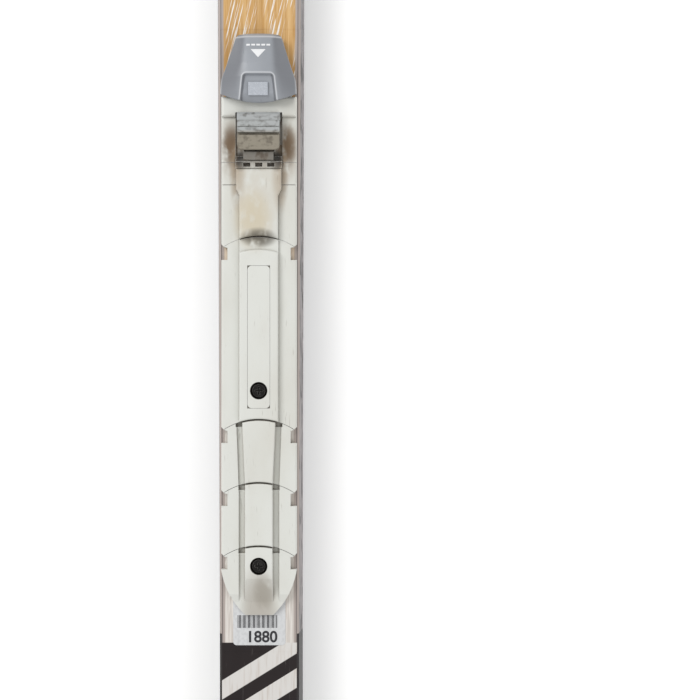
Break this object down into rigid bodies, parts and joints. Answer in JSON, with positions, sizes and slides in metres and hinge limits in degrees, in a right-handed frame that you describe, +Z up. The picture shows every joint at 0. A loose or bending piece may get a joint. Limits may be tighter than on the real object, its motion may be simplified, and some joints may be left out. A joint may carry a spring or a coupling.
{
  "type": "cross country ski",
  "caption": "Touring cross country ski with a cap construction and an automatic binding: sprung toe jaw, press-down release lid, guide ridge and heel plates.",
  "frame": {"origin": "under the middle of the ski's length, on the surface that it stands on", "axes": "+Y towards the tip, +X to the skier's right, +Z up"},
  "size_m": [0.06, 1.8792, 0.0682],
  "materials": {
    "base": "sintered black sole",
    "glass_fibre": "cured laminate",
    "wood_core": "sealed light wood",
    "filler": "moulded",
    "steel_plate": "mill finish",
    "cap": "printed wood look in front, black behind",
    "label_paper": "matt paper",
    "cream_plastic": "satin, scuffed",
    "grey_plastic": "satin",
    "light_pad": "ribbed",
    "steel": "zinc plated, worn",
    "rubber": "moulded, dusty",
    "black_steel": "black zinc"
  },
  "bodies": {
    "ski": {"running_base": "base", "lower_laminate": "glass_fibre", "core": "wood_core", "tip_spacer": "filler", "tail_spacer": "filler", "mounting_plate": "steel_plate", "upper_laminate": "glass_fibre", "cap_shell": "cap", "size_label": "label_paper", "toe_housing": "cream_plastic", "slide_cover": "steel", "lid_pin": "steel", "jaw_springs": "steel", "spring_guides": "steel", "bumper": "rubber", "bumper_clip": "rubber", "fixed_jaw": "cream_plastic", "front_plate": "cream_plastic", "ridge_cover": "cream_plastic", "mid_plate": "cream_plastic", "ridge_insert": "cream_plastic", "heel_plate_front": "cream_plastic", "heel_plate_middle": "cream_plastic", "heel_plate_rear": "cream_plastic", "mounting_screws": "black_steel"},
    "lid": {"release_lid": "grey_plastic", "pole_pad": "light_pad"},
    "jaw": {"jaw_slider": "steel"}
  },
  "joints": [
    {"name": "jaw_slide", "type": "slide", "parent": "ski", "child": "jaw", "axis": [0, 1, 0], "range_m": [0, 0.0034], "stiffness_N_per_m": 1500, "springref_m": -0.002, "deforming": ["jaw_springs"]},
    {"name": "lid_press", "type": "hinge", "parent": "ski", "child": "lid", "pos_m": [0, 0.0484, 0.047], "axis": [1, 0, 0], "range_deg": [0, 6]}
  ],
  "couplings": [
    {"joint": "lid_press", "follows": "jaw_slide", "rad_per_m": 30.79}
  ]
}
